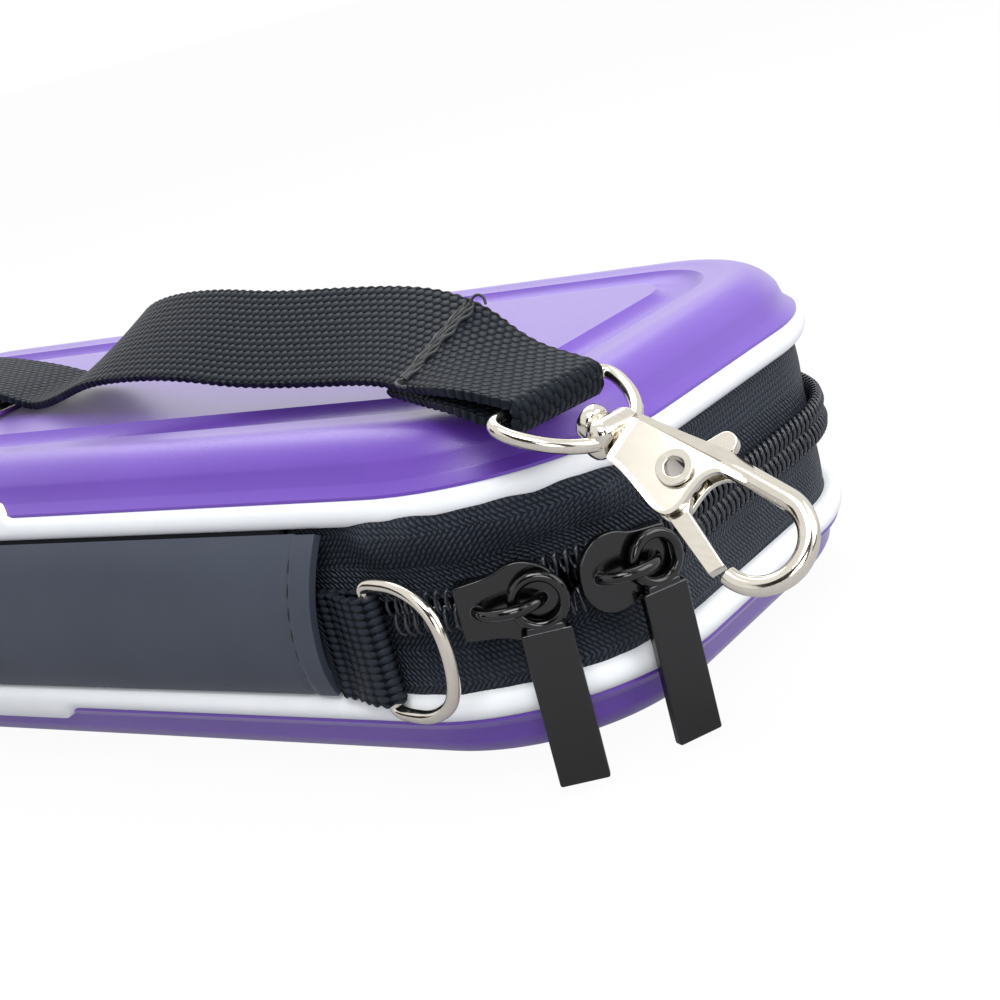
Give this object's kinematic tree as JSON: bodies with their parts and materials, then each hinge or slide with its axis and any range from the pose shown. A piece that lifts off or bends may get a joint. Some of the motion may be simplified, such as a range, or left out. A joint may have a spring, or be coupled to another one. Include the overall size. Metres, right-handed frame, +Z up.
{
  "type": "hard shell zip carry case",
  "caption": "Slim moulded zip-round carry case with a folding spine panel, ring tabs, paired zip sliders and a clip-on carrying strap.",
  "frame": {"origin": "middle of the flat face under the case, which it rests on", "axes": "+X along the spine, towards the corner with the zip sliders; +Y away from the spine; +Z up"},
  "size_m": [0.2735, 0.0943, 0.063],
  "materials": {
    "shell": "satin purple laminate",
    "lining": "black brushed lining",
    "trim": "white piping",
    "zip_tape": "black twill tape",
    "zip_coil": "black nylon coil",
    "elastic": "black elastic",
    "spine_cover": "charcoal coated fabric",
    "thread": "black thread",
    "webbing": "black woven webbing",
    "net": "black net",
    "black_metal": "gloss black paint",
    "nickel": "pale nickel plate",
    "spring_steel": "spring wire"
  },
  "bodies": {
    "base": {"lower_shell": "shell", "lower_lining": "lining", "lower_trim": "trim", "lower_zip_tape": "zip_tape", "lower_zip_chain": "zip_coil", "elastic_band": "elastic", "right_ring_tab": "webbing", "left_ring_tab": "webbing"},
    "spine": {"spine_panel": "spine_cover", "spine_stitches": "thread", "spine_lining": "lining"},
    "lid": {"upper_shell": "shell", "upper_lining": "lining", "upper_trim": "trim", "upper_zip_tape": "zip_tape", "upper_zip_chain": "zip_coil", "mesh_pocket": "net", "pocket_binding": "elastic"},
    "right_ring": {"right_d_ring": "nickel"},
    "left_ring": {"left_d_ring": "nickel"},
    "first_slider": {"first_slider": "black_metal"},
    "first_puller": {"first_puller": "black_metal"},
    "second_slider": {"second_slider": "black_metal"},
    "second_puller": {"second_puller": "black_metal"},
    "strap": {"strap_fold": "webbing", "strap_run": "webbing", "strap_bartack": "thread", "strap_loop": "webbing", "strap_adjuster": "nickel"},
    "front_eye": {"front_clasp_eye": "nickel"},
    "front_hook": {"front_clasp_hook": "nickel", "front_clasp_rivet": "nickel", "front_clasp_spring": "spring_steel"},
    "front_gate": {"front_clasp_gate": "nickel"},
    "rear_eye": {"rear_clasp_eye": "nickel"},
    "rear_hook": {"rear_clasp_hook": "nickel", "rear_clasp_rivet": "nickel", "rear_clasp_spring": "spring_steel"},
    "rear_gate": {"rear_clasp_gate": "nickel"}
  },
  "joints": [
    {"name": "spine_fold", "type": "hinge", "parent": "base", "child": "spine", "pos_m": [0, -0.0448, 0.0136], "axis": [1, 0, 0], "range_deg": [0, 80], "deforming": ["lower_zip_chain"]},
    {"name": "lid_fold", "type": "hinge", "parent": "spine", "child": "lid", "pos_m": [0, -0.0448, 0.0364], "axis": [1, 0, 0], "range_deg": [0, 80], "deforming": ["upper_zip_chain"]},
    {"name": "right_ring_swing", "type": "hinge", "parent": "base", "child": "right_ring", "pos_m": [0.0745, -0.04605, 0.021], "axis": [0, 0, 1], "range_deg": [-100, 6]},
    {"name": "left_ring_swing", "type": "hinge", "parent": "base", "child": "left_ring", "pos_m": [-0.0745, -0.04605, 0.021], "axis": [0, 0, 1], "range_deg": [-6, 100]},
    {"name": "first_slider_run", "type": "hinge", "parent": "base", "child": "first_slider", "pos_m": [0.0765, -0.0165, 0.025], "axis": [0, 0, 1], "range_deg": [-4, 2.5]},
    {"name": "second_slider_run", "type": "hinge", "parent": "base", "child": "second_slider", "pos_m": [0.0765, -0.0165, 0.025], "axis": [0, 0, 1], "range_deg": [0, 25]},
    {"name": "first_puller_swing", "type": "hinge", "parent": "first_slider", "child": "first_puller", "pos_m": [0.09649, -0.04066, 0.025], "axis": [0.5446, -0.8387, 0], "range_deg": [-15, 10]},
    {"name": "second_puller_swing", "type": "hinge", "parent": "second_slider", "child": "second_puller", "pos_m": [0.10569, -0.02795, 0.025], "axis": [0.8829, -0.4695, 0], "range_deg": [-10, 45]},
    {"name": "strap_lift", "type": "slide", "parent": "lid", "child": "strap", "axis": [0, 0, 1], "range_m": [0, 0.06]},
    {"name": "front_eye_swing", "type": "hinge", "parent": "strap", "child": "front_eye", "pos_m": [0.1022, -0.0368, 0.049], "axis": [0.1736, 0.9848, 0], "range_deg": [-100, 0]},
    {"name": "front_swivel", "type": "hinge", "parent": "front_eye", "child": "front_hook", "pos_m": [0.1022, -0.0368, 0.049], "axis": [0.8695, -0.1533, -0.4695], "continuous": true},
    {"name": "front_gate_press", "type": "hinge", "parent": "front_hook", "child": "front_gate", "pos_m": [0.11942, -0.03984, 0.0397], "axis": [0.2041, -0.754, 0.6243], "range_deg": [0, 24], "stiffness_Nm_per_rad": 0.05, "springref_deg": -17.19},
    {"name": "rear_eye_swing", "type": "hinge", "parent": "strap", "child": "rear_eye", "pos_m": [-0.104, -0.008, 0.0482], "axis": [0, -1, 0], "range_deg": [-100, 0]},
    {"name": "rear_swivel", "type": "hinge", "parent": "rear_eye", "child": "rear_hook", "pos_m": [-0.104, -0.008, 0.0482], "axis": [-0.8829, 0, -0.4695], "continuous": true},
    {"name": "rear_gate_press", "type": "hinge", "parent": "rear_hook", "child": "rear_gate", "pos_m": [-0.12148, -0.008, 0.0389], "axis": [-0.4695, 0, 0.8829], "range_deg": [0, 24], "stiffness_Nm_per_rad": 0.05, "springref_deg": -17.19}
  ],
  "couplings": [
    {"joint": "lid_fold", "follows": "spine_fold", "ratio": 1}
  ]
}
